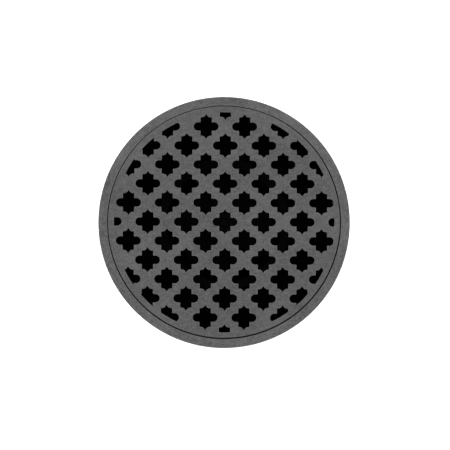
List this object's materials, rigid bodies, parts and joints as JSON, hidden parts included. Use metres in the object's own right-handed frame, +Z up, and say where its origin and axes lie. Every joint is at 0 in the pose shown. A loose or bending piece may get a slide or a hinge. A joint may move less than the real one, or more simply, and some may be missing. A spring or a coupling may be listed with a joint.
{
  "type": "floor drain",
  "caption": "Round floor drain: flat ring frame, lift-out grate plate pierced with four-lobed openings, drain body, hair basket, clamping nut and pipe seal.",
  "frame": {"origin": "on the drain's axis, level with the lower end of the threaded shank, on which it stands", "axes": "+Z up along the drain's axis, out of the grate; +X and +Y along the two rows of the pierced pattern, with +Y away from the viewer"},
  "size_m": [0.127, 0.127, 0.065],
  "materials": {
    "gunmetal_steel": "dark gunmetal coated stainless steel, fine brushed grain, satin",
    "black_moulding": "black moulded plastic, fine texture",
    "black_rubber": "black moulded rubber, matt",
    "pressed_fibre": "pressed brown fibre board, matt and slightly flecked",
    "white_nylon": "natural nylon, smooth",
    "plain_steel": "plain stainless steel, machined"
  },
  "bodies": {
    "drain": {"frame_ring": "gunmetal_steel", "seat_gasket": "black_rubber", "drain_body": "black_moulding", "flange_seal": "black_rubber", "frame_screw_1": "plain_steel", "screw_washer_1": "plain_steel", "frame_screw_2": "plain_steel", "screw_washer_2": "plain_steel", "frame_screw_3": "plain_steel", "screw_washer_3": "plain_steel", "frame_screw_4": "plain_steel", "screw_washer_4": "plain_steel", "base_gasket": "black_rubber", "pipe_seal": "black_rubber"},
    "grate": {"grate_plate": "gunmetal_steel"},
    "basket": {"basket_cup": "black_moulding", "basket_knob": "black_moulding", "basket_nut": "plain_steel", "basket_seal": "black_rubber"},
    "clamp_washer": {"friction_washer": "pressed_fibre"},
    "clamp_nut": {"lock_nut": "black_moulding"},
    "pipe_washer": {"slip_washer": "white_nylon"},
    "pipe_nut": {"compression_nut": "black_moulding"}
  },
  "joints": [
    {"name": "grate_lift", "type": "slide", "parent": "drain", "child": "grate", "axis": [0, 0, 1], "range_m": [0, 0.09]},
    {"name": "basket_lift", "type": "slide", "parent": "drain", "child": "basket", "axis": [0, 0, 1], "range_m": [0, 0.045]},
    {"name": "clamp_washer_slide", "type": "slide", "parent": "drain", "child": "clamp_washer", "axis": [0, 0, -1], "range_m": [-0.00785, 0.01805]},
    {"name": "lock_nut_turn", "type": "hinge", "parent": "clamp_washer", "child": "clamp_nut", "pos_m": [0, 0, 0.027], "axis": [0, 0, -1], "range_deg": [-702, 1620]},
    {"name": "pipe_washer_slide", "type": "slide", "parent": "drain", "child": "pipe_washer", "axis": [0, 0, -1], "range_m": [0, 0.0063]},
    {"name": "compression_nut_turn", "type": "hinge", "parent": "pipe_washer", "child": "pipe_nut", "pos_m": [0, 0, 0.0035], "axis": [0, 0, -1], "range_deg": [0, 900]}
  ],
  "couplings": [
    {"joint": "basket_lift", "follows": "grate_lift", "ratio": 0.5},
    {"joint": "clamp_washer_slide", "follows": "lock_nut_turn", "m_per_rad": 0.00063662},
    {"joint": "pipe_washer_slide", "follows": "compression_nut_turn", "m_per_rad": 0.00039789}
  ]
}
